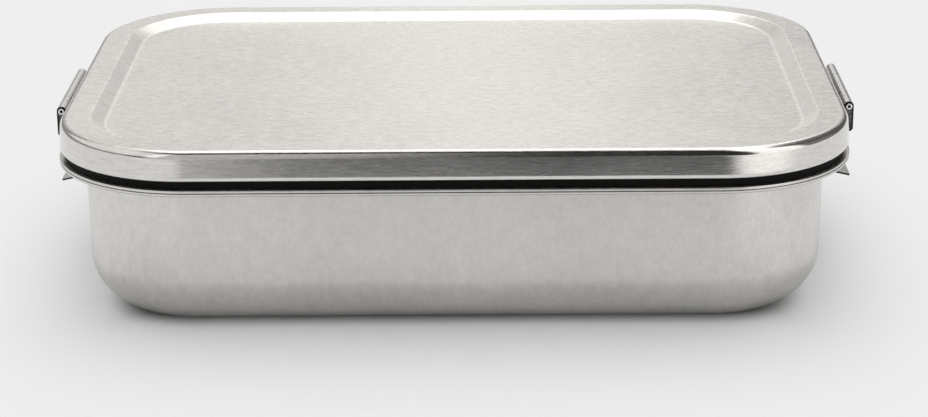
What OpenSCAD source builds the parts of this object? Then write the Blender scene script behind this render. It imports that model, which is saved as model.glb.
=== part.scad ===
// Steel lunch box: a deep-drawn tray, a pressed lid with a rubber seal, and a clip on each short side.
// Millimetres, +Z up. The origin is on the table, under the middle of the tray. X runs left to right.
// Sections are drawn as [u, z]: u is the distance outside the face of the lid's skirt.

/* [Overall size] */
// Length of the lid, from left to right
lid_w = 250; // [220:1:280]
// Depth of the lid, from front to back
lid_d = 180; // [160:1:220]
// Height from the table to the top of the lid
total_h = 61; // [50:1:80]
// Corner radius of the lid, seen from above
corner_r = 43.5; // [36:0.5:50]
// Thickness of the steel sheet of the tray and the lid
sheet = 0.6; // [0.5:0.1:0.7]

/* [Lid] */
// Height of the lid's skirt, with its rounded edge
skirt_h = 9.3; // [9:0.1:10]
// Radius of the rounded edge between the lid's top and its skirt
edge_r = 2.4; // [2:0.1:3]
// How far the skirt's lower edge stands outside its upper edge
skirt_flare = 0.6; // [0.2:0.1:1]
// Width of the flat border round the sunk panel
border_w = 10; // [9.5:0.5:13]
// Width of the slope down to the sunk panel
slope_w = 4.6; // [4.4:0.1:7]
// Depth of the sunk panel
panel_drop = 2.4; // [1.2:0.1:2.5]
// Height of the hem that is folded up inside the skirt
hem_h = 3; // [2.5:0.1:3.2]

/* [Tray] */
// Width of the rim, from the edge of the lid to the wall
rim_w = 8; // [7.5:0.1:9]
// How far the rim's rolled bead stands outside the lid
rim_out = 0.2; // [0.1:0.1:0.6]
// Diameter of the rolled bead
bead_d = 1.9; // [1.8:0.1:2]
// Outer radius between the wall and the bottom
bottom_r = 17; // [12:1:20]
// How far the wall leans outward from the bottom to the rim
wall_lean = 0.4; // [0:0.1:1]

/* [Seal] */
// Height of the seal that shows between the skirt and the rim
seal_gap = 2.7; // [2.5:0.1:3]
// How far the seal's face lies inside the skirt's face
seal_inset = 1.5; // [1.5:0.1:1.6]

/* [Clips] */
// Width of each clip, along the short side
clip_w = 46; // [40:1:54]
// Thickness of the sheet of the clips and brackets
clip_sheet = 0.6; // [0.5:0.1:0.6]
// Distance of the hinge line outside the lid
hinge_out = 3.4; // [3.3:0.1:3.6]
// Distance of the hinge line below the top of the lid
hinge_drop = 6.4; // [6.1:0.1:6.5]
// Diameter of the hollow hinge pin
pin_d = 1.9; // [1.8:0.1:2]
// Running clearance round the pin, on the radius
pin_gap = 0.05; // [0.03:0.01:0.08]
// Distance of the finger lip's edge outside the lid
lip_out = 4.5; // [4:0.1:4.7]
// Distance of the finger lip's edge below the hook
lip_drop = 15.4; // [14.6:0.1:16]

/* [Hidden] */
steel = "silver";
bright_steel = "gainsboro";
arc_step = 7.5;
tight_bend_r = 0.6;
tight_step = 18;
arc_fn = 96;
slope_bend_r = 3.2;
rim_bend_r = 1.5;
bead_sweep = 260;
bead_lead = 1;
hem_gap = 0.2;
hem_bend_r = 0.36;
seal_play = 0.15;
seal_clear = 0.05;
seal_pad = 1.4;
seal_leg = 2.2;
seal_foot = 2.3;
seal_lip = 1.3;
seal_lip_drop = 2.4;
seal_mouth_gap = 0.5;
pin_bore_d = 0.9;
pin_overhang = 0.8;
pin_flare = 0.2;
pin_flare_h = 0.3;
knuckle_w = 5;
knuckle_y = 13;
knuckle_gap = 0.2;
knuckle_sweep = 330;
strap_w = 49;
strap_lift = 0.7;
strap_over = 1.8;
weld_gap = 0.01;
curl_sweep = 230;
notch_gap = 0.35;
hook_gap = 0.35;
hook_rise = 0.2;
leg_out = 1.3;
lip_fall = 1.1;
clip_bends = [1, 0.9, 1.2];
skirt_bottom = total_h - skirt_h;
top_z = total_h - sheet / 2;
fold_z = skirt_bottom + sheet / 2;
skirt_slope = skirt_flare / (top_z - fold_z);
rim_top = skirt_bottom - seal_gap;
hinge_z = total_h - hinge_drop;
bore_r = pin_d / 2 + pin_gap;
curl_r = bore_r + clip_sheet;

// Sheet-metal helpers ------------------------------------------------------------------------

function unit(v) = v / norm(v);
function turn_left(v) = [-v[1], v[0]];

// The points of one bend: the corner b between a and c, rounded to radius r
function bend(a, b, c, r) =
    let (to_a = unit(a - b), to_c = unit(c - b),
         half = acos(max(-1, min(1, to_a * to_c))) / 2,
         centre = b + unit(to_a + to_c) * r / sin(half),
         start = b + to_a * r / tan(half) - centre,
         sweep = (180 - 2 * half) * sign(cross(b - a, c - b)),
         steps = max(2, ceil(abs(sweep) / (r < tight_bend_r ? tight_step : arc_step))))
    [for (i = [0:steps]) let (t = sweep * i / steps)
        centre + [start[0] * cos(t) - start[1] * sin(t), start[0] * sin(t) + start[1] * cos(t)]];

// A sheet's middle line: straight runs through the points, with a bend of the given radius at each
function bent_line(points, radii) =
    let (last = len(points) - 1)
    [points[0],
     for (i = [1:last - 1]) for (p = bend(points[i - 1], points[i], points[i + 1], radii[i - 1])) p,
     points[last]];

// Points on a circle from angle a0 to a1
function arc(centre, r, a0, a1) =
    let (steps = max(2, ceil(abs(a1 - a0) / arc_step)))
    [for (i = [0:steps]) let (t = a0 + (a1 - a0) * i / steps) centre + r * [cos(t), sin(t)]];

// One edge of the sheet, at distance d to the left of the middle line
function beside(line, d) =
    let (last = len(line) - 1)
    [for (i = [0:last])
        let (before = turn_left(unit(line[max(i, 1)] - line[max(i, 1) - 1])),
             after = turn_left(unit(line[min(i, last - 1) + 1] - line[min(i, last - 1)])),
             middle = unit(before + after))
        line[i] + middle * d / (middle * before)];

function backwards(list) = [for (i = [len(list) - 1:-1:0]) list[i]];
function sheet_section(line, t) = concat(beside(line, t / 2), backwards(beside(line, -t / 2)));

// Sweeps a section all the way round the lid's outline, with true arcs at the corners
module round_sweep(section) {
    long_run = lid_w - 2 * corner_r;
    short_run = lid_d - 2 * corner_r;
    for (sx = [0, 1], sy = [0, 1])
        mirror([sx, 0, 0]) mirror([0, sy, 0])
            translate([long_run / 2, short_run / 2, 0])
                rotate_extrude(angle = 90, $fn = arc_fn) translate([corner_r, 0]) polygon(section);
    for (side = [0, 1]) {
        mirror([side, 0, 0])
            translate([lid_w / 2, short_run / 2, 0])
                rotate([90, 0, 0]) linear_extrude(height = short_run) polygon(section);
        mirror([0, side, 0])
            translate([-long_run / 2, lid_d / 2, 0])
                rotate([90, 0, 90]) linear_extrude(height = long_run) polygon(section);
    }
}

// The flat sheet inside the corner arcs, with its lower face at z
module middle_sheet(z) {
    translate([0, 0, z + sheet / 2])
        cube([lid_w - 2 * corner_r, lid_d - 2 * corner_r, sheet], center = true);
}

// Draws something made for the right side, with u as X and the hinge side at the lid's short side
module on_side(left) {
    mirror([left ? 1 : 0, 0, 0]) translate([lid_w / 2, 0, 0]) children();
}

// Extrudes a [u, z] section from y0 to y1
module along_y(section, y0, y1) {
    translate([0, y1, 0]) rotate([90, 0, 0]) linear_extrude(height = y1 - y0) polygon(section);
}

// Part of a ring round the hinge line, from angle a0, between y0 and y1
module curl(r_in, r_out, a0, sweep, y0, y1) {
    translate([hinge_out, y1, hinge_z]) rotate([90, 0, 0]) rotate([0, 0, a0])
        rotate_extrude(angle = sweep, $fn = arc_fn) translate([r_in, 0]) square([r_out - r_in, y1 - y0]);
}

// How far the skirt leans in between its lower bend and height z, and where its outer face is there
function lean_in(z) = skirt_slope * (z - fold_z);
function skirt_face(z) = sheet / 2 * (norm([1, skirt_slope]) - 1) - lean_in(z);

// The parts ----------------------------------------------------------------------------------

// Deep-drawn food tray: flat bottom, wide bottom radius, horizontal rim with a rolled bead
module tray() {
    wall_u = -rim_w - sheet / 2;
    rim_z = rim_top - sheet / 2;
    bead = [rim_out - bead_d / 2, rim_top - bead_d / 2];
    line = concat(
        bent_line([[-corner_r, sheet / 2], [wall_u - wall_lean, sheet / 2], [wall_u, rim_z],
                   [bead[0] - bead_lead, rim_z]],
                  [bottom_r - sheet / 2, rim_bend_r]),
        arc(bead, bead_d / 2 - sheet / 2, 90, 90 - bead_sweep));
    color(steel) {
        round_sweep(sheet_section(line, sheet));
        middle_sheet(0);
    }
}

// Pressed lid: sunk panel, flat border, rounded edge, and a leaning skirt with a folded hem
module lid() {
    panel_z = top_z - panel_drop;
    fold_u = -sheet / 2 - (sheet + hem_gap);
    hem_top = skirt_bottom + hem_h;
    line = bent_line([[-corner_r, panel_z], [-border_w - slope_w, panel_z], [-border_w, top_z],
                      [-sheet / 2 - skirt_flare, top_z], [-sheet / 2, fold_z],
                      [fold_u, fold_z], [fold_u - lean_in(hem_top), hem_top]],
                     [slope_bend_r, slope_bend_r, edge_r - sheet / 2, hem_bend_r, hem_bend_r]);
    color(bright_steel) {
        round_sweep(sheet_section(line, sheet));
        middle_sheet(total_h - panel_drop - sheet);
    }
}

// Moulded rubber seal: a foot on the rim, a leg held behind the hem, a pad under the lid's border,
// and a lip that reaches down inside the tray's mouth
module seal() {
    face = -seal_inset;
    inside_skirt = -sheet - seal_play;
    foot_z = rim_top + seal_clear;
    foot_top = foot_z + seal_foot;
    over_hem = skirt_bottom + hem_h + 2 * seal_play;
    pad_z = total_h - sheet - seal_play;
    pad_low = pad_z - seal_pad;
    pad_end = -border_w + 2 * seal_play;
    edge_z = pad_z - edge_r;
    mouth = -rim_w - sheet - seal_mouth_gap;
    lip_z = foot_z - seal_lip_drop;
    color("black") round_sweep([
        [face, foot_z], [face, fold_z], [face - lean_in(over_hem), over_hem],
        [inside_skirt - lean_in(over_hem), over_hem + seal_play],
        [inside_skirt - lean_in(edge_z), edge_z],
        [-lean_in(pad_z) - edge_r, pad_z], [pad_end, pad_z], [pad_end, pad_low],
        [face - seal_leg, pad_low], [face - seal_leg, foot_top],
        [mouth - seal_lip, foot_top], [mouth - seal_lip, lip_z + seal_lip / 3],
        [mouth - seal_lip / 3, lip_z], [mouth, lip_z + seal_lip / 2],
        [mouth, foot_z + seal_mouth_gap], [mouth + 2 * seal_lip, foot_z]
    ]);
}

// Sheet bracket spot-welded to the lid's short side, with two fingers rolled round the hinge pin
module hinge_bracket(left) {
    strap_bottom = skirt_bottom + strap_lift;
    strap_top = hinge_z + strap_over;
    low = skirt_face(strap_bottom) + weld_gap;
    high = skirt_face(strap_top) + weld_gap;
    neck_z = hinge_z - curl_r;
    neck_u = skirt_face(neck_z) + clip_sheet / 2;
    color(steel) on_side(left) {
        along_y([[low, strap_bottom], [low + clip_sheet, strap_bottom],
                 [high + clip_sheet, strap_top], [high, strap_top]], -strap_w / 2, strap_w / 2);
        for (y = [-knuckle_y, knuckle_y]) {
            translate([neck_u, y - knuckle_w / 2, neck_z])
                cube([hinge_out - neck_u, knuckle_w, clip_sheet]);
            curl(bore_r, curl_r, -90, knuckle_sweep, y - knuckle_w / 2, y + knuckle_w / 2);
        }
    }
}

// Hollow pin, flared at both ends so that it stays in the bracket's fingers
module hinge_pin(left) {
    half = clip_w / 2 + pin_overhang;
    color(bright_steel) on_side(left) translate([hinge_out, 0, hinge_z]) rotate([90, 0, 0])
        difference() {
            union() {
                cylinder(d = pin_d, h = 2 * half, center = true, $fn = arc_fn);
                for (end = [-1, 1])
                    translate([0, 0, end * (half - pin_flare_h / 2)])
                        cylinder(d = pin_d + 2 * pin_flare, h = pin_flare_h, center = true,
                                 $fn = arc_fn);
            }
            cylinder(d = pin_bore_d, h = 2 * half + 1, center = true, $fn = arc_fn);
        }
}

// Clip bent from one sheet: a curl over the pin, a plate, a hook under the bead and a finger lip
module clip(left) {
    plate_u = hinge_out + bore_r + clip_sheet / 2;
    hook = [rim_out - bead_d, rim_top - bead_d - hook_gap - clip_sheet / 2];
    line = bent_line([[plate_u, hinge_z], [plate_u, hook[1] - hook_rise], hook,
                      [hook[0] + leg_out, hook[1] - lip_drop + lip_fall],
                      [lip_out, hook[1] - lip_drop]],
                     clip_bends);
    color(bright_steel) on_side(left) difference() {
        union() {
            curl(bore_r, curl_r, 0, curl_sweep, -clip_w / 2, clip_w / 2);
            along_y(sheet_section(line, clip_sheet), -clip_w / 2, clip_w / 2);
        }
        for (y = [-knuckle_y, knuckle_y])
            translate([hinge_out, y, hinge_z]) rotate([90, 0, 0])
                cylinder(r = curl_r + notch_gap, h = knuckle_w + 2 * knuckle_gap, center = true,
                         $fn = arc_fn);
    }
}

module left_hinge_bracket() hinge_bracket(true);
module right_hinge_bracket() hinge_bracket(false);
module left_hinge_pin() hinge_pin(true);
module right_hinge_pin() hinge_pin(false);
module left_clip() clip(true);
module right_clip() clip(false);

tray();
lid();
seal();
left_hinge_bracket();
right_hinge_bracket();
left_hinge_pin();
right_hinge_pin();
left_clip();
right_clip();
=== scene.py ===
"""Looks of the lunch box: smooth pieces built over the CAD frame, brushed steel, studio and camera."""

import math

import bmesh
import bpy
from mathutils import Matrix, Vector


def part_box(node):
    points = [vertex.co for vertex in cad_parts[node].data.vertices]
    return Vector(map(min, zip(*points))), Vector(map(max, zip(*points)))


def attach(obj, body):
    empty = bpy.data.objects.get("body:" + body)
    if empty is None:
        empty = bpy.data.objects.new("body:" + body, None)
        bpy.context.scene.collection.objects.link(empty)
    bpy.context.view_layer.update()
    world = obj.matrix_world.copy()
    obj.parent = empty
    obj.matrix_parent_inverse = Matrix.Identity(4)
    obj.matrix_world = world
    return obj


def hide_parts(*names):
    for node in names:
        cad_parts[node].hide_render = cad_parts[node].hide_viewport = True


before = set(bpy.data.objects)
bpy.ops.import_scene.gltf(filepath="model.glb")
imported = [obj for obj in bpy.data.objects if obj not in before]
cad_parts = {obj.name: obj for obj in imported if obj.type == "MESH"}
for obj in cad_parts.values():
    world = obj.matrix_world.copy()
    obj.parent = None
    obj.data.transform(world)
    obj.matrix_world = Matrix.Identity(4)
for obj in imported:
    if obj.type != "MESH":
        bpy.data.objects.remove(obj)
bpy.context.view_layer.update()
scene = bpy.context.scene

# Sizes in millimetres. Places in a section are (u, z): u is the distance outside the foot of the
# lid's skirt, and z is the height above the surface that the box stands on.
MM = 0.001
LID_W, LID_D = 250.0, 180.0
SKIRT_BOTTOM, TOP = (corner.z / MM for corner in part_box("lid"))
RIM_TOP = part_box("tray")[1].z / MM
SHEET = 0.6
CORNER_R = 43.5

# Lid: a flat border, the slope down to the sunk panel, a rounded edge and a leaning, hemmed skirt.
BORDER_W, SLOPE_W, PANEL_DROP = 10.0, 4.6, 2.4
FOOT_BEND_R, TOP_BEND_R = 4.0, 1.4
EDGE_R = 2.4
FLARE = 0.6
TURN_H, TURN_IN, TURN_R = 0.85, 0.08, 4.0
HEM_H, HEM_GAP, HEM_R = 3.0, 0.2, 0.36
TOP_Z = TOP - SHEET / 2
FOLD_Z = SKIRT_BOTTOM + SHEET / 2
SKIRT_SLOPE = FLARE / (TOP_Z - FOLD_Z)

# Tray: a wall and a rim of one sheet. The rim's edge is folded under, with a groove in its face.
RIM_W, RIM_OUT, RIM_DEEP = 8.0, 0.2, 1.9
BOTTOM_R, WALL_LEAN, RIM_R = 17.0, 0.4, 1.5
FOLD_W, FOLD_WALL = 2.4, 0.75
GROOVE_Z, GROOVE_HALF, GROOVE_DEEP = RIM_TOP - 0.92, 0.15, 0.4

# Clips, hinge brackets and hinge pins.
CLIP_W = 46.0
HINGE_OUT, HINGE_Z = 3.4, TOP - 6.4
PIN_R, BORE_R, PIN_BORE_R = 0.95, 1.0, 0.45
PIN_PROUD = 0.8
CURL_MID_R = BORE_R + SHEET / 2
HOOK_GAP, HOOK_FALL = 0.35, 0.2
LEG_OUT, LEG_H = 1.3, 14.3
LIP_OUT, LIP_DROP = 4.5, 15.4
FOOT_R, HOOK_R, LIP_R = 1, 0.9, 1.2
CURL_END, ROLL_END = 230, 240
KNUCKLES = (-13.0, 13.0)
KNUCKLE_W, KNUCKLE_GAP = 5.0, 0.14
NOTCH_Z = HINGE_Z - 1.45
STRAP_W, STRAP_FOOT, STRAP_HEAD, WELD_GAP = 49.0, 0.7, 1.8, 0.01

# Fineness: the turn between points on a bend, in degrees, and the longest straight run.
SHEET_TURN, FOLD_TURN, SEAL_TURN, CLIP_TURN, CURL_TURN = 3.0, 12.0, 22.0, 7.5, 10.0
LID_RUN, TRAY_RUN, CLIP_RUN, STRAP_RUN = 4.0, 5.0, 4.0, 3.5
ARC_STEPS, LONG_STEPS, SHORT_STEPS = 28, 22, 12
PIN_STEPS = 40

# Sheet edges are softened by a small bevel. Edges sharper than these, in degrees, stay crisp.
EDGE_BEVEL, BEVEL_FROM = 0.05, 50
PLATE_CRISP, PIN_CRISP = 14, 35


# Section helpers ------------------------------------------------------------------------------


def unit(x, y):
    n = math.hypot(x, y)
    return x / n, y / n


def arc_points(centre, radius, a0, a1, turn):
    """Points (u, z, tangent u, tangent z) on a circle from angle a0 to a1, in degrees."""
    n = max(2, math.ceil(abs(a1 - a0) / turn))
    way = 1 if a1 > a0 else -1
    out = []
    for i in range(n + 1):
        a = math.radians(a0 + (a1 - a0) * i / n)
        c, s = math.cos(a), math.sin(a)
        out.append((centre[0] + radius * c, centre[1] + radius * s, -s * way, c * way))
    return out


def corner_at(a, b, c):
    """The directions from the corner b to a and to c, and half the angle between them."""
    to_a, to_c = unit(a[0] - b[0], a[1] - b[1]), unit(c[0] - b[0], c[1] - b[1])
    half = math.acos(max(-1, min(1, to_a[0] * to_c[0] + to_a[1] * to_c[1]))) / 2
    return to_a, to_c, half


def bend(a, b, c, radius, turn):
    """The corner b between a and c, rounded, as points with tangents."""
    to_a, to_c, half = corner_at(a, b, c)
    mid = unit(to_a[0] + to_c[0], to_a[1] + to_c[1])
    centre = [b[k] + mid[k] * radius / math.sin(half) for k in (0, 1)]
    start = [b[k] + to_a[k] * radius / math.tan(half) - centre[k] for k in (0, 1)]
    side = (b[0] - a[0]) * (c[1] - b[1]) - (b[1] - a[1]) * (c[0] - b[0])
    a0 = math.degrees(math.atan2(start[1], start[0]))
    sweep = (180 - 2 * math.degrees(half)) * (1 if side > 0 else -1)
    return arc_points(centre, radius, a0, a0 + sweep, turn)


def divided(line, run):
    """The line with its straight stretches divided, so that none is longer than run."""
    out = [line[0]]
    for p in line[1:]:
        q = out[-1]
        pieces = max(1, math.ceil(math.hypot(p[0] - q[0], p[1] - q[1]) / run))
        straight = abs(p[2] - q[2]) + abs(p[3] - q[3]) < 1e-4
        for k in range(1, pieces if straight else 1):
            t = k / pieces
            out.append((q[0] + (p[0] - q[0]) * t, q[1] + (p[1] - q[1]) * t, p[2], p[3]))
        out.append(p)
    return out


def bent_line(points, radii, turn, run=None):
    """Straight runs through points, with a bend at each point between the ends."""
    first = unit(points[1][0] - points[0][0], points[1][1] - points[0][1])
    last = unit(points[-1][0] - points[-2][0], points[-1][1] - points[-2][1])
    out = [(*points[0], *first)]
    for a, b, c, radius in zip(points, points[1:], points[2:], radii):
        out += bend(a, b, c, radius, turn)
    out.append((*points[-1], *last))
    return divided(out, run) if run else out


def sheet_faces(line):
    """The two faces of a sheet round its middle line, as points (u, z, normal u, normal z)."""
    half = SHEET / 2
    left = [(u - tz * half, z + tu * half, -tz, tu) for u, z, tu, tz in line]
    right = [(u + tz * half, z - tu * half, tz, -tu) for u, z, tu, tz in line]
    return left, right


def round_edge(end, steps=6):
    """The rounded edge of a sheet whose middle line stops at end."""
    u, z, tu, tz = end
    out = []
    for i in range(1, steps):
        a = math.radians(90 - 180 * i / steps)
        nu = tu * math.cos(a) - tz * math.sin(a)
        nz = tu * math.sin(a) + tz * math.cos(a)
        out.append((u + nu * SHEET / 2, z + nz * SHEET / 2, nu, nz))
    return out


def spread(edges, most):
    """Numbers from the first edge to the last, through every edge, no step longer than most."""
    out = [edges[0]]
    for a, b in zip(edges, edges[1:]):
        n = max(1, math.ceil((b - a) / most))
        out += [a + (b - a) * i / n for i in range(1, n + 1)]
    return out


# Pieces swept round the box ---------------------------------------------------------------------

HALF_X, HALF_Y = LID_W / 2 - CORNER_R, LID_D / 2 - CORNER_R


def outline():
    """Stations round the outline: (centre x, centre y, direction x, direction y, distance run)."""
    out, run = [], 0.0
    corners = [(1, -1), (1, 1), (-1, 1), (-1, -1)]
    for k, (sx, sy) in enumerate(corners):
        cx, cy = sx * HALF_X, sy * HALF_Y
        a0 = 90 * (k - 1)
        for i in range(ARC_STEPS + 1):
            a = math.radians(a0 + 90 * i / ARC_STEPS)
            arc = CORNER_R * math.radians(90 * i / ARC_STEPS)
            out.append((cx, cy, math.cos(a), math.sin(a), run + arc))
        run += CORNER_R * math.pi / 2
        nx, ny = corners[(k + 1) % 4][0] * HALF_X, corners[(k + 1) % 4][1] * HALF_Y
        steps = SHORT_STEPS if k % 2 == 0 else LONG_STEPS
        length = math.hypot(nx - cx, ny - cy)
        a = math.radians(a0 + 90)
        for i in range(1, steps):
            t = i / steps
            here = (cx + (nx - cx) * t, cy + (ny - cy) * t)
            out.append((*here, math.cos(a), math.sin(a), run + length * t))
        run += length
    return out + [(*out[0][:4], run)]


STATIONS = outline()


def add_object(name, bm):
    mesh = bpy.data.meshes.new(name)
    bm.to_mesh(mesh)
    bm.free()
    obj = bpy.data.objects.new(name, mesh)
    scene.collection.objects.link(obj)
    return obj


def solid_object(name, verts, faces, uvs, marks):
    """A closed piece from vertices (mm), faces, per-corner grain places (mm) and steel numbers."""
    bm = bmesh.new()
    made = [bm.verts.new(Vector(v) * MM) for v in verts]
    layer = bm.loops.layers.uv.new("grain")
    for corners, places, mark in zip(faces, uvs, marks):
        ids = list(dict.fromkeys(corners))
        if len(ids) < 3:
            continue
        face = bm.faces.new([made[i] for i in ids])
        face.smooth = True
        face.material_index = mark
        for loop, i in zip(face.loops, ids):
            loop[layer].uv = [v * MM for v in places[corners.index(i)]]
    bmesh.ops.recalc_face_normals(bm, faces=bm.faces)
    if bm.calc_volume(signed=True) < 0:
        bmesh.ops.reverse_faces(bm, faces=bm.faces)
    return add_object(name, bm)


def swept(name, skin, along_x=None, mark_of=None, closed=False):
    """Sweeps a section skin round the outline. An open skin starts and ends at u = -CORNER_R,
    where a flat middle closes it. along_x(p, q) says whether the grain between two points of the
    skin follows x, not the outline, and mark_of(p, q) gives the number of its steel."""
    verts, normals, known = [], [], {}
    faces, uvs, marks = [], [], []

    def vertex(x, y, p, dx=0.0, dy=0.0):
        key = (round(x, 4), round(y, 4), round(p[1], 4), round(p[2], 3), round(p[3], 3))
        if key not in known:
            known[key] = len(verts)
            verts.append((x, y, p[1]))
            normals.append(Vector((dx * p[2], dy * p[2], p[3])).normalized())
        return known[key]

    def at(station, p):
        cx, cy, dx, dy, _ = station
        reach = CORNER_R + p[0]
        return vertex(cx + dx * reach, cy + dy * reach, p, dx, dy)

    v0 = 0.0
    for p, q in zip(skin, skin[1:] + skin[:1] if closed else skin[1:]):
        v1 = v0 + math.hypot(q[0] - p[0], q[1] - p[1])
        for here, there in zip(STATIONS, STATIONS[1:]):
            face = [at(here, p), at(there, p), at(there, q), at(here, q)]
            faces.append(face)
            if along_x and along_x(p, q):
                uvs.append([verts[i][:2] for i in face])
            else:
                uvs.append([(here[4], v0), (there[4], v0), (there[4], v1), (here[4], v1)])
            marks.append(mark_of(p, q) if mark_of else 0)
        v0 = v1
    for p in () if closed else (skin[0], skin[-1]):
        grid = {}
        for ix in range(LONG_STEPS + 1):
            for iy in range(SHORT_STEPS + 1):
                x = -HALF_X + 2 * HALF_X * ix / LONG_STEPS
                y = -HALF_Y + 2 * HALF_Y * iy / SHORT_STEPS
                grid[ix, iy] = vertex(x, y, p)
        for ix in range(LONG_STEPS):
            for iy in range(SHORT_STEPS):
                face = [grid[ix, iy], grid[ix + 1, iy], grid[ix + 1, iy + 1], grid[ix, iy + 1]]
                faces.append(face)
                uvs.append([verts[i][:2] for i in face])
                marks.append(mark_of(p, p) if mark_of else 0)
    obj = solid_object(name, verts, faces, uvs, marks)
    obj.data.normals_split_custom_set([normals[loop.vertex_index] for loop in obj.data.loops])
    return obj


def lean_in(z):
    """How far the skirt has leaned in at height z."""
    return SKIRT_SLOPE * (z - FOLD_Z)


def skirt_face(z):
    """Where the skirt's outer face is at height z."""
    return SHEET / 2 * (math.hypot(1, SKIRT_SLOPE) - 1) - lean_in(z)


def lid_section():
    """From the panel's middle over the border and down the skirt, to the hem's edge inside it."""
    panel = TOP_Z - PANEL_DROP
    hem_u, hem_top = -SHEET / 2 - (SHEET + HEM_GAP), SKIRT_BOTTOM + HEM_H
    points = [
        (-CORNER_R, panel),
        (-BORDER_W - SLOPE_W, panel),
        (-BORDER_W, TOP_Z),
        (-SHEET / 2 - FLARE, TOP_Z),
        (-SHEET / 2, FOLD_Z + TURN_H),
        (-SHEET / 2 - TURN_IN, FOLD_Z),
        (hem_u, FOLD_Z),
        (hem_u - lean_in(hem_top), hem_top),
    ]
    radii = [FOOT_BEND_R, TOP_BEND_R, EDGE_R - SHEET / 2, TURN_R, HEM_R, HEM_R]
    line = bent_line(points, radii, SHEET_TURN, LID_RUN)
    left, right = sheet_faces(line)
    return left + round_edge(line[-1]) + right[::-1]


def lid_along_x(p, q):
    """The lid's flat faces are brushed along x, its skirt along the edge."""
    return min(p[3], q[3]) > 0.7 or max(p[3], q[3]) < -0.7


def lid_mark(p, q):
    """The second steel is for the rounded edge, the skirt and the hem."""
    return 0 if abs(p[3]) > 0.8 else 1


def tray_section():
    """From the bottom's middle up the wall's inside, round the folded rim and back outside."""
    wall_u, rim_z = -RIM_W - SHEET / 2, RIM_TOP - SHEET / 2
    fold_u, low = RIM_OUT - RIM_DEEP / 2 - 1, RIM_TOP - RIM_DEEP
    points = [
        (-CORNER_R, SHEET / 2),
        (wall_u - WALL_LEAN, SHEET / 2),
        (wall_u, rim_z),
        (fold_u, rim_z),
    ]
    left, right = sheet_faces(bent_line(points, [BOTTOM_R - SHEET / 2, RIM_R], SHEET_TURN, TRAY_RUN))
    # The folded edge: the rim's top and grooved face, the fold's underside and its inside.
    fold = [
        (fold_u, RIM_TOP),
        (RIM_OUT, RIM_TOP),
        (RIM_OUT, GROOVE_Z + GROOVE_HALF),
        (RIM_OUT - GROOVE_DEEP, GROOVE_Z),
        (RIM_OUT + 0.02, GROOVE_Z - GROOVE_HALF),
        (RIM_OUT - 0.02, low),
        (RIM_OUT - FOLD_W, low),
        (RIM_OUT - FOLD_W, low + SHEET),
        (RIM_OUT - FOLD_WALL, low + SHEET),
        (RIM_OUT - FOLD_WALL, RIM_TOP - SHEET),
        (fold_u, RIM_TOP - SHEET),
    ]
    radii = [0.3, 0.07, 0.06, 0.07, 0.34, 0.2, 0.2, 0.3, 0.3]
    nose = bent_line(fold, radii, FOLD_TURN)[1:-1]
    return left + [(u, z, -tz, tu) for u, z, tu, tz in nose] + right[::-1]


def tray_mark(p, q):
    """The second steel, darker, is painted shade in the groove in the rim's face and on the rim's
    underside.
    """
    u, z = (p[0] + q[0]) / 2, (p[1] + q[1]) / 2
    on_rim = u >= RIM_OUT - FOLD_W - 0.2
    groove = abs(z - GROOVE_Z) < GROOVE_HALF - 0.02
    return 1 if on_rim and (groove or min(p[3], q[3]) < -0.45) else 0


def seal_section():
    """The ring's closed outline: the band seen under the skirt, the pad under the lid's border,
    and the lip inside the tray's wall."""
    play, clear, most_r = 0.15, 0.05, 0.25
    foot_h, body_w, pad_t = 2.3, 2.2, 1.4
    lip, lip_drop, lip_root, wall_gap = 1.3, 2.4, 0.5, 0.5
    face, inside = -1.5, -SHEET - play
    foot_z = RIM_TOP + clear
    foot_top, lip_z = foot_z + foot_h, foot_z - lip_drop
    over_hem = SKIRT_BOTTOM + HEM_H + 2 * play
    pad_z = TOP - SHEET - play
    pad_end, edge_z = -BORDER_W + 2 * play, pad_z - EDGE_R
    mouth = -RIM_W - SHEET - wall_gap
    points = [
        (face, foot_z),
        (face, FOLD_Z),
        (face - lean_in(over_hem), over_hem),
        (inside - lean_in(over_hem), over_hem + play),
        (inside - lean_in(edge_z), edge_z),
        (-lean_in(pad_z) - EDGE_R, pad_z),
        (pad_end, pad_z),
        (pad_end, pad_z - pad_t),
        (face - body_w, pad_z - pad_t),
        (face - body_w, foot_top),
        (mouth - lip, foot_top),
        (mouth - lip, lip_z + lip / 3),
        (mouth - lip / 3, lip_z),
        (mouth, lip_z + lip / 2),
        (mouth, foot_z + lip_root),
        (mouth + 2 * lip, foot_z),
    ]
    out = []
    for a, b, c in zip(points[-1:] + points, points, points[1:] + points[:1]):
        room = min(math.dist(a, b), math.dist(b, c)) * 0.4
        radius = min(most_r, room * math.tan(corner_at(a, b, c)[2]))
        out += [(u, z, tz, -tu) for u, z, tu, tz in bend(a, b, c, radius, SEAL_TURN)]
    return out


# Clips, hinge brackets and hinge pins -----------------------------------------------------------


def side_point(left, u, y, z):
    """The place at u outside the skirt on the left or right side of the box."""
    x = LID_W / 2 + u
    return (-x if left else x, y, z)


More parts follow.
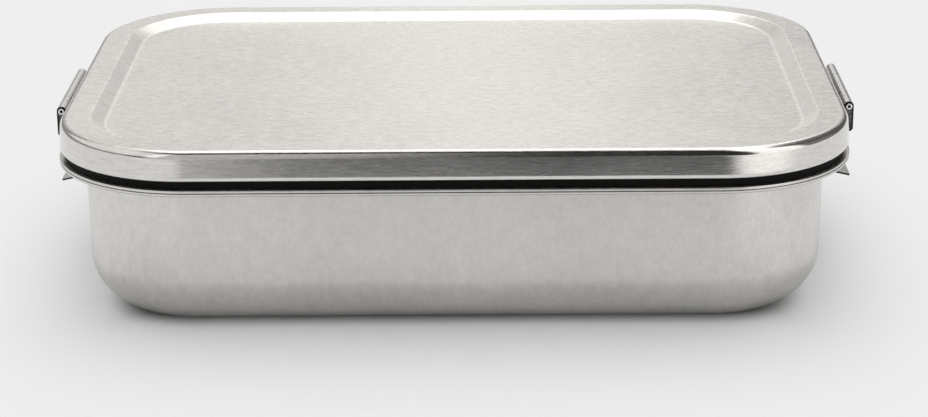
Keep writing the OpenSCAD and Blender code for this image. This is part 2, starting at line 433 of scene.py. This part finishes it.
def bent_plate(name, left, line, columns, hole=None):
    """A sheet bent along line and running across y, with cells left out where hole says so."""
    bm = bmesh.new()
    layer = bm.loops.layers.uv.new("grain")
    grid, run = {}, [0.0]
    for a, b in zip(line, line[1:]):
        run.append(run[-1] + math.hypot(b[0] - a[0], b[1] - a[1]))
    for i in range(len(line) - 1):
        for j in range(len(columns) - 1):
            mid_z = (line[i][1] + line[i + 1][1]) / 2
            if hole and hole((columns[j] + columns[j + 1]) / 2, mid_z):
                continue
            cell = ((i, j), (i + 1, j), (i + 1, j + 1), (i, j + 1))
            for a, b in cell:
                if (a, b) not in grid:
                    place = side_point(left, line[a][0], columns[b], line[a][1])
                    grid[a, b] = bm.verts.new(Vector(place) * MM)
            face = bm.faces.new([grid[spot] for spot in cell])
            face.smooth = True
            for loop, (a, b) in zip(face.loops, cell):
                loop[layer].uv = (columns[b] * MM, run[a] * MM)
    obj = add_object(name, bm)
    for steel in (clip_steel, edge_shade_steel):
        obj.data.materials.append(steel)
    thicken = obj.modifiers.new("thicken", "SOLIDIFY")
    thicken.thickness = SHEET * MM
    thicken.offset = 0
    thicken.use_even_offset = True
    thicken.use_quality_normals = True
    # The cut edges get the second steel, which is near black: painted shade on the sheet ends.
    thicken.material_offset_rim = 1
    soften = obj.modifiers.new("soften", "BEVEL")
    soften.width = EDGE_BEVEL * MM
    soften.segments = 2
    soften.limit_method = "ANGLE"
    soften.angle_limit = math.radians(BEVEL_FROM)
    return baked(obj, PLATE_CRISP)


def baked(obj, crisp):
    """Applies an object's modifiers. Edges up to the angle crisp, in degrees, are shaded smooth."""
    graph = bpy.context.evaluated_depsgraph_get()
    mesh = bpy.data.meshes.new_from_object(obj.evaluated_get(graph))
    obj.modifiers.clear()
    obj.data = mesh
    for poly in mesh.polygons:
        poly.use_smooth = True
    mesh.set_sharp_from_angle(angle=math.radians(crisp))
    return obj


def make_clip(side, left):
    """From the curl round the pin, down past the rim to the hook under it, and on to the lip."""
    plate_u = HINGE_OUT + CURL_MID_R
    hook_u, hook_z = RIM_OUT - RIM_DEEP, RIM_TOP - RIM_DEEP - HOOK_GAP - SHEET / 2
    curl = arc_points((HINGE_OUT, HINGE_Z), CURL_MID_R, CURL_END, 0, CURL_TURN)
    points = [
        (plate_u, HINGE_Z),
        (plate_u, hook_z - HOOK_FALL),
        (hook_u, hook_z),
        (hook_u + LEG_OUT, hook_z - LEG_H),
        (LIP_OUT, hook_z - LIP_DROP),
    ]
    rest = bent_line(points, [FOOT_R, HOOK_R, LIP_R], CLIP_TURN)
    line = curl + [(plate_u, NOTCH_Z, 0, -1)] + rest[1:]
    half = KNUCKLE_W / 2 + KNUCKLE_GAP
    edges = sorted([-CLIP_W / 2, CLIP_W / 2] + [k + s * half for k in KNUCKLES for s in (-1, 1)])

    def notch(y, z):
        return z > NOTCH_Z and any(abs(y - k) < half for k in KNUCKLES)

    return bent_plate(side + "_clip_sheet", left, line, spread(edges, CLIP_RUN), notch)


def make_bracket(side, left):
    """A strap on the skirt, with a finger rolled round the pin at each knuckle."""
    low, high = SKIRT_BOTTOM + STRAP_FOOT, HINGE_Z + STRAP_HEAD
    out = WELD_GAP + SHEET / 2
    strap_line = [(skirt_face(z) + out, z) for z in (low, (low + high) / 2, high)]
    columns = spread([-STRAP_W / 2, STRAP_W / 2], STRAP_RUN)
    strap = bent_plate(side + "_bracket_sheet", left, strap_line, columns)
    z = HINGE_Z - CURL_MID_R
    roll = arc_points((HINGE_OUT, HINGE_Z), CURL_MID_R, -90, ROLL_END, CURL_TURN)
    finger_line = [(skirt_face(z) + out, z), (HINGE_OUT, z)] + roll[1:]
    half = KNUCKLE_W / 2
    for k in KNUCKLES:
        finger = bent_plate("finger", left, finger_line, (k - half, k, k + half))
        join = strap.modifiers.new("join", "BOOLEAN")
        join.operation = "UNION"
        join.object = finger
        join.solver = "EXACT"
        baked(strap, PLATE_CRISP)
        bpy.data.objects.remove(finger)
    return strap


def make_pin(side, left):
    """A hollow pin with flared ends, turned round the hinge line."""
    half = CLIP_W / 2 + PIN_PROUD
    # The flared end, from the bore to the outside: radius, and distance in from the pin's end.
    flare = [
        (PIN_BORE_R, 0.12),
        (PIN_BORE_R + 0.08, 0.02),
        (PIN_BORE_R + 0.2, 0),
        (PIN_R, 0),
        (PIN_R + 0.06, 0.03),
        (PIN_R + 0.08, 0.1),
        (PIN_R + 0.08, 0.26),
        (PIN_R + 0.05, 0.3),
        (PIN_R, 0.34),
    ]
    ahead = [(r, half - inset) for r, inset in flare]
    behind = [(r, -y) for r, y in reversed(ahead)]
    profile = [(PIN_BORE_R, 0)] + ahead + [(PIN_R, 0)] + behind
    cx, _, cz = side_point(left, HINGE_OUT, 0, HINGE_Z)
    verts, faces, uvs = [], [], []
    n = len(profile)
    for i in range(PIN_STEPS):
        a = 2 * math.pi * i / PIN_STEPS
        verts += [(cx + r * math.cos(a), y, cz + r * math.sin(a)) for r, y in profile]
        this, after = i * n, (i + 1) % PIN_STEPS * n
        for j in range(n):
            k = (j + 1) % n
            faces.append([this + j, after + j, after + k, this + k])
            uvs.append([(0, i), (0, i + 1), (1, i + 1), (1, i)])
    tube = solid_object(side + "_pin_tube", verts, faces, uvs, [0] * len(faces))
    return baked(tube, PIN_CRISP)


# Node graphs ------------------------------------------------------------------------------------


class Graph:
    """Short calls that add the nodes of one tree."""

    def __init__(self, tree):
        tree.nodes.clear()
        self.nodes, self.links = tree.nodes, tree.links

    def add(self, kind, inputs=None, **settings):
        """A new node. inputs gives each named socket a value or the output that feeds it."""
        node = self.nodes.new(kind)
        for name, value in settings.items():
            setattr(node, name, value)
        for name, value in (inputs or {}).items():
            if isinstance(value, bpy.types.NodeSocket):
                self.links.new(value, node.inputs[name])
            else:
                node.inputs[name].default_value = value
        return node

    def math(self, kind, a, b=0.0):
        return self.add("ShaderNodeMath", {0: a, 1: b}, operation=kind).outputs[0]

    def times(self, first, *others):
        for other in others:
            first = self.math("MULTIPLY", first, other)
        return first

    def rescale(self, value, source, target, kind="LINEAR"):
        """value moved from the range source to the range target, and held there at both ends."""
        inputs = {0: value, 1: source[0], 2: source[1], 3: target[0], 4: target[1]}
        return self.add("ShaderNodeMapRange", inputs, interpolation_type=kind).outputs[0]

    def step(self, value, low, high):
        """0 below low, 1 above high, smooth between. low may be above high."""
        ends = (min(low, high), max(low, high))
        return self.rescale(value, ends, (0, 1) if low < high else (1, 0), "SMOOTHSTEP")

    def window(self, value, start, end, soft):
        """1 between start and end, falling to 0 over soft on both sides."""
        up = self.step(value, start - soft, start)
        down = self.step(value, end + soft, end)
        return self.times(up, down)

    def noise(self, place, scale, detail=2.0):
        inputs = {"Vector": place, "Scale": scale, "Detail": detail}
        return self.add("ShaderNodeTexNoise", inputs).outputs["Fac"]

    def blend(self, share, a, b):
        return self.add("ShaderNodeMix", {0: share, 2: a, 3: b}).outputs[0]

    def choose(self, share, a, b):
        """The shader a where share is 0 and b where it is 1."""
        return self.add("ShaderNodeMixShader", {0: share, 1: a, 2: b}).outputs[0]


# Materials --------------------------------------------------------------------------------------

NOISE_SPAN = (0.3, 0.7)
SMUDGE_SCALE, SMUDGE_SHARE = 38.0, 0.4
RELIEF_DEEP = 0.0002
GRAIN_TURN = 0.25


def new_material(name):
    mat = bpy.data.materials.new(name)
    mat.use_nodes = True
    return mat, Graph(mat.node_tree)


def brushed(name, colour, rough, coarse, fine, tone, rough_swing, bump, anisotropy=0.0, cloud=0.0):
    """Steel with a grain along the u of the 'grain' map. coarse and fine are lines per metre,
    along and across the grain. The grain changes the tone and the relief, smudges change the tone
    by cloud, and both change the roughness."""
    mat, g = new_material(name)
    uv = g.add("ShaderNodeUVMap", uv_map="grain").outputs[0]
    levels = []
    for along, across in (coarse, fine):
        stretched = g.add("ShaderNodeMapping", {"Vector": uv, "Scale": (along, across, 1)})
        levels.append(g.noise(stretched.outputs[0], 1.0, 3.0))
    grain = g.blend(0.5, *levels)
    smudge = g.noise(g.add("ShaderNodeTexCoord").outputs["Object"], SMUDGE_SCALE, 3.0)
    amount = g.times(
        g.rescale(grain, NOISE_SPAN, (1 - tone, 1 + tone)),
        g.rescale(smudge, NOISE_SPAN, (1 - cloud, 1 + cloud)),
    )
    tinted = g.add("ShaderNodeVectorMath", {0: colour, "Scale": amount}, operation="SCALE")
    swing = (rough - rough_swing, rough + rough_swing)
    relief = g.add("ShaderNodeBump", {"Strength": bump, "Distance": RELIEF_DEEP, "Height": grain})
    inputs = {
        "Base Color": tinted.outputs[0],
        "Metallic": 1.0,
        "Roughness": g.rescale(g.blend(SMUDGE_SHARE, grain, smudge), NOISE_SPAN, swing),
        "Anisotropic": anisotropy,
        "Normal": relief.outputs[0],
    }
    if anisotropy:
        tangent = g.add("ShaderNodeTangent", direction_type="UV_MAP", uv_map="grain")
        inputs["Anisotropic Rotation"] = GRAIN_TURN
        inputs["Tangent"] = tangent.outputs[0]
    shader = g.add("ShaderNodeBsdfPrincipled", inputs)
    g.add("ShaderNodeOutputMaterial", {0: shader.outputs[0]})
    return mat


def rubber(name):
    """Matt black, with a fine dust."""
    mat, g = new_material(name)
    dust = g.noise(g.add("ShaderNodeTexCoord").outputs["Object"], 900.0)
    ramp = g.add("ShaderNodeValToRGB", {0: dust})
    ramp.color_ramp.elements[0].color = (0.004, 0.004, 0.0035, 1)
    ramp.color_ramp.elements[1].color = (0.009, 0.0085, 0.008, 1)
    inputs = {"Base Color": ramp.outputs[0], "Roughness": 0.6, "Specular IOR Level": 0.1}
    shader = g.add("ShaderNodeBsdfPrincipled", inputs)
    g.add("ShaderNodeOutputMaterial", {0: shader.outputs[0]})
    return mat


SHEET_COLOUR = (0.69, 0.675, 0.655)
lid_steel = brushed(
    "lid_brushed_steel", SHEET_COLOUR, rough=0.27, coarse=(230, 480), fine=(420, 1500),
    tone=0.13, rough_swing=0.06, bump=0.12, anisotropy=0.55, cloud=0.012,
)
skirt_steel = brushed(
    "lid_edge_steel", SHEET_COLOUR, rough=0.14, coarse=(150, 1100), fine=(500, 2400),
    tone=0.15, rough_swing=0.03, bump=0.08, anisotropy=0.3, cloud=0.02,
)
tray_steel = brushed(
    "tray_satin_steel", SHEET_COLOUR, rough=0.33, coarse=(260, 170), fine=(800, 480),
    tone=0.1, rough_swing=0.06, bump=0.16, anisotropy=0.2, cloud=0.05,
)
clip_steel = brushed(
    "clip_steel", (0.64, 0.63, 0.62), rough=0.24, coarse=(60, 900), fine=(200, 3000),
    tone=0.05, rough_swing=0.03, bump=0.02, anisotropy=0.3, cloud=0.02,
)
# Near-black steel for the cut edges of the clip and bracket sheets: painted shade where the sheet ends
# look dark.
edge_shade_steel = brushed(
    "cut_edge_shade_steel", (0.035, 0.034, 0.033), rough=0.45, coarse=(300, 900), fine=(900, 3000),
    tone=0.1, rough_swing=0.05, bump=0.05,
)
# Darker steel in the rim's groove and on its underside: painted shade under the rim.
rim_shade_steel = brushed(
    "rim_underside_shade_steel", (0.27, 0.262, 0.255), rough=0.4, coarse=(100, 900), fine=(300, 2000),
    tone=0.1, rough_swing=0.05, bump=0.05,
)
pin_steel = brushed(
    "pin_steel", (0.72, 0.71, 0.70), rough=0.16, coarse=(100, 900), fine=(300, 3000),
    tone=0.03, rough_swing=0.02, bump=0.01,
)
black_silicone = rubber("black_silicone")


# Pieces -----------------------------------------------------------------------------------------


def hand_in(obj, body, node, steels=()):
    """Gives a piece its materials and its body, and hides the CAD node that it stands for."""
    for steel in steels:
        obj.data.materials.append(steel)
    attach(obj, body)
    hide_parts(node)


lid = swept("lid_shell", lid_section(), lid_along_x, lid_mark)
tray = swept("tray_shell", tray_section(), mark_of=tray_mark)
seal = swept("seal_ring", seal_section(), closed=True)
hand_in(lid, "lid", "lid", (lid_steel, skirt_steel))
hand_in(tray, "container", "tray", (tray_steel, rim_shade_steel))
hand_in(seal, "lid", "seal", (black_silicone,))
for side, is_left in (("left", True), ("right", False)):
    clip, bracket, pin = (make(side, is_left) for make in (make_clip, make_bracket, make_pin))
    hand_in(clip, side + "_clip", side + "_clip")
    hand_in(bracket, "lid", side + "_hinge_bracket")
    hand_in(pin, side + "_pin", side + "_hinge_pin", (pin_steel,))


# Studio -----------------------------------------------------------------------------------------

scene.view_settings.view_transform = "Standard"
WHITE, WARM = (1, 1, 1, 1), (1.0, 0.985, 0.96, 1)
FLOOR_TONE = 0.863
FLOOR_ALBEDO = 0.88
SKY_POWER = 2.0
SKY_TILT = math.radians(6.0)

# Light panels seen in the steel: brightness, then the windows it lies in, each (start, end,
# softness) in degrees. side is measured from the front and back from the rear, both + to the
# right; height is above the horizon; over runs from the rear horizon, 0, through straight up, 90,
# to the front one; across is the angle off the middle plane, + to the right.
PANELS = [
    (0.025, {}),
    (0.10, {"side": (80, 180, 14), "height": (-30, 50, 12)}),
    (0.30, {"side": (-180, -60, 20), "height": (-30, 14, 8)}),
    (1.32, {"side": (38, 74, 9), "height": (-30, 28, 6)}),
    (1.6, {"side": (38, 74, 9), "height": (34, 70, 6)}),
    (1.5, {"side": (50, 130, 15), "height": (66, 82, 6)}),
    (0.95, {"side": (-130, -34, 11), "height": (22, 62, 11)}),
    (0.95, {"side": (-168, -140, 8), "height": (42, 70, 6)}),
    (0.60, {"side": (-34, -6, 7), "height": (5, 62, 8)}),
    (1.8, {"across": (-9, 14, 6), "over": (38, 80, 7)}),
    (0.53, {"back": (-11, 11, 5), "over": (-8, 29, 5)}),
    (0.36, {"back": (0.2, 1.0, 7.2), "over": (-8, 29, 5)}),
    (0.08, {"back": (-11, -7, 5), "over": (-8, 29, 5)}),
    (0.74, {"back": (16, 28, 6), "height": (17, 44, 4)}),
    (0.76, {"back": (-28, -16, 6), "height": (17, 36, 4)}),
    (0.10, {"side": (88, 112, 8), "height": (6, 20, 6)}),
]

# The floor, in metres from the box's middle. Ramps are (0 here, 1 there) and zones are (start,
# end, softness). The floor glows a little beside and ahead of the box and outside its foot, which
# keeps the shadow soft. In the steel's reflections alone, it is dark far ahead and, more weakly,
# round the foot, where the darkening is a painted shadow, and a bright card lies ahead on the right.
BESIDE_RAMP, AHEAD_RAMP, OPEN_GLOW = (0.108, 0.17), (-0.13, -0.24), 0.55
END_RAMP, FRONT_RAMP, FOOT_GLOW = (0.1, 0.115), (0.064, 0.082), 0.20
DARK_RAMP, DARK_ZONE = (-0.235, -0.425), (-0.07, 0.14, 0.12)
DARK_TONE, DARK_LEFT, DARK_TURN = 0.075, 0.87, (-0.09, 0.06)
FOOT_X, FOOT_Y, FOOT_SHADOW = (-0.13, 0.13, 0.03), (-0.108, 0.108, 0.03), 0.24
CARD_X, CARD_Y, CARD_GLOW = (0.16, 0.26), (-0.19, -0.27), 1.25
FLOOR_R = 9.0


def panel_light(g, x, y, z):
    """The brightness of the panels in the direction (x, y, z)."""
    axes = {
        "side": g.math("DEGREES", g.math("ARCTAN2", x, g.times(y, -1.0))),
        "back": g.math("DEGREES", g.math("ARCTAN2", x, y)),
        "height": g.math("DEGREES", g.math("ARCSINE", z)),
        "over": g.math("DEGREES", g.math("ARCTAN2", z, y)),
        "across": g.math("DEGREES", g.math("ARCSINE", x)),
    }
    total = 0.0
    for brightness, windows in PANELS:
        lit = brightness
        for axis, span in windows.items():
            lit = g.times(g.window(axes[axis], *span), lit)
        total = g.math("ADD", lit, total)
    return total


def sky_light(g, y, z):
    """A soft sky, brightest overhead and a little to the rear, that lights the floor evenly."""
    back, up = g.times(y, math.sin(SKY_TILT)), g.times(z, math.cos(SKY_TILT))
    toward = g.math("MAXIMUM", g.math("ADD", up, back), 0.0)
    full = FLOOR_TONE / FLOOR_ALBEDO * (SKY_POWER + 2) / 2 / math.cos(SKY_TILT)
    return g.times(g.math("POWER", toward, SKY_POWER), full)


def make_world():
    """The camera sees a plain backdrop, the steel mirrors the panels, and the sky lights the rest."""
    world = bpy.data.worlds.new("studio")
    scene.world = world
    world.use_nodes = True
    world.cycles.sampling_method = "NONE"
    g = Graph(world.node_tree)
    place = g.add("ShaderNodeTexCoord")
    x, y, z = g.add("ShaderNodeSeparateXYZ", {0: place.outputs["Generated"]}).outputs
    kind = "ShaderNodeBackground"
    panels = g.add(kind, {"Color": WARM, "Strength": panel_light(g, x, y, z)}).outputs[0]
    sky = g.add(kind, {"Color": WHITE, "Strength": sky_light(g, y, z)}).outputs[0]
    backdrop = g.add(kind, {"Color": WHITE, "Strength": FLOOR_TONE}).outputs[0]
    path = g.add("ShaderNodeLightPath").outputs
    unseen = g.choose(path["Is Glossy Ray"], sky, panels)
    seen = g.choose(path["Is Camera Ray"], unseen, backdrop)
    g.add("ShaderNodeOutputWorld", {0: seen})


def floor_material():
    mat, g = new_material("pale_floor")
    position = g.add("ShaderNodeNewGeometry").outputs["Position"]
    x, y, _ = g.add("ShaderNodeSeparateXYZ", {0: position}).outputs
    wide, deep = g.math("ABSOLUTE", x), g.math("ABSOLUTE", y)
    glossy = g.add("ShaderNodeLightPath").outputs["Is Glossy Ray"]

    beside = g.math("MAXIMUM", g.step(wide, *BESIDE_RAMP), g.step(y, *AHEAD_RAMP))
    outside = g.math("MAXIMUM", g.step(wide, *END_RAMP), g.step(deep, *FRONT_RAMP))
    glow = g.math("ADD", g.times(beside, OPEN_GLOW), g.times(outside, FOOT_GLOW))
    pale = g.add("ShaderNodeBsdfDiffuse", {"Color": (FLOOR_ALBEDO,) * 3 + (1,)}).outputs[0]
    lift = g.add("ShaderNodeEmission", {"Color": (FLOOR_TONE,) * 3 + (1,)}).outputs[0]

    share = g.math("ADD", g.times(g.step(x, *DARK_TURN), 1 - DARK_LEFT), DARK_LEFT)
    ahead = g.times(g.step(y, *DARK_RAMP), g.window(x, *DARK_ZONE), share)
    # Round the box's foot the floor is darker in reflections only: a painted shadow.
    foot = g.times(g.window(x, *FOOT_X), g.window(y, *FOOT_Y), FOOT_SHADOW)
    dark = g.times(g.math("MAXIMUM", ahead, foot), glossy)
    dim = g.add("ShaderNodeBsdfDiffuse", {"Color": (DARK_TONE,) * 3 + (1,)}).outputs[0]

    on_card = g.times(g.step(x, *CARD_X), g.step(y, *CARD_Y), glossy)
    card = g.add("ShaderNodeEmission", {"Color": WARM, "Strength": CARD_GLOW}).outputs[0]

    floor = g.choose(dark, g.choose(glow, pale, lift), dim)
    g.add("ShaderNodeOutputMaterial", {0: g.choose(on_card, floor, card)})
    return mat


def make_floor():
    bm = bmesh.new()
    bmesh.ops.create_circle(bm, cap_ends=True, segments=96, radius=FLOOR_R)
    floor = add_object("floor", bm)
    floor.data.materials.append(floor_material())


make_world()
make_floor()

# Camera -----------------------------------------------------------------------------------------

# Distances are in half lengths of the lid, angles in degrees, and the lens and sensor in mm.
HALF_LENGTH = LID_W / 2 * MM
DISTANCE, YAW, PITCH, ROLL = 7.0008, -0.5775, 18.7494, -0.5506
AIM_X, AIM_Z = 0.020, 0.099
LENS, SENSOR = 99.90388, 36.0
CLIP_NEAR, CLIP_FAR = 0.05, 30


def make_camera():
    yaw, pitch, roll = (math.radians(v) for v in (YAW, PITCH, ROLL))
    level = Vector((math.sin(yaw), math.cos(yaw), 0)) * math.cos(pitch)
    ahead = level - Vector((0, 0, math.sin(pitch)))
    flat_right = Vector((math.cos(yaw), -math.sin(yaw), 0))
    flat_up = flat_right.cross(ahead)
    right = flat_right * math.cos(roll) + flat_up * math.sin(roll)
    up = flat_up * math.cos(roll) - flat_right * math.sin(roll)
    data = bpy.data.cameras.new("camera")
    data.sensor_width, data.lens = SENSOR, LENS
    data.clip_start, data.clip_end = CLIP_NEAR, CLIP_FAR
    camera = bpy.data.objects.new("camera", data)
    at = (Vector((AIM_X, 0, AIM_Z)) - ahead * DISTANCE) * HALF_LENGTH
    turn = Matrix((right, up, -ahead)).transposed().to_4x4()
    camera.matrix_world = Matrix.Translation(at) @ turn
    scene.collection.objects.link(camera)
    scene.camera = camera


make_camera()
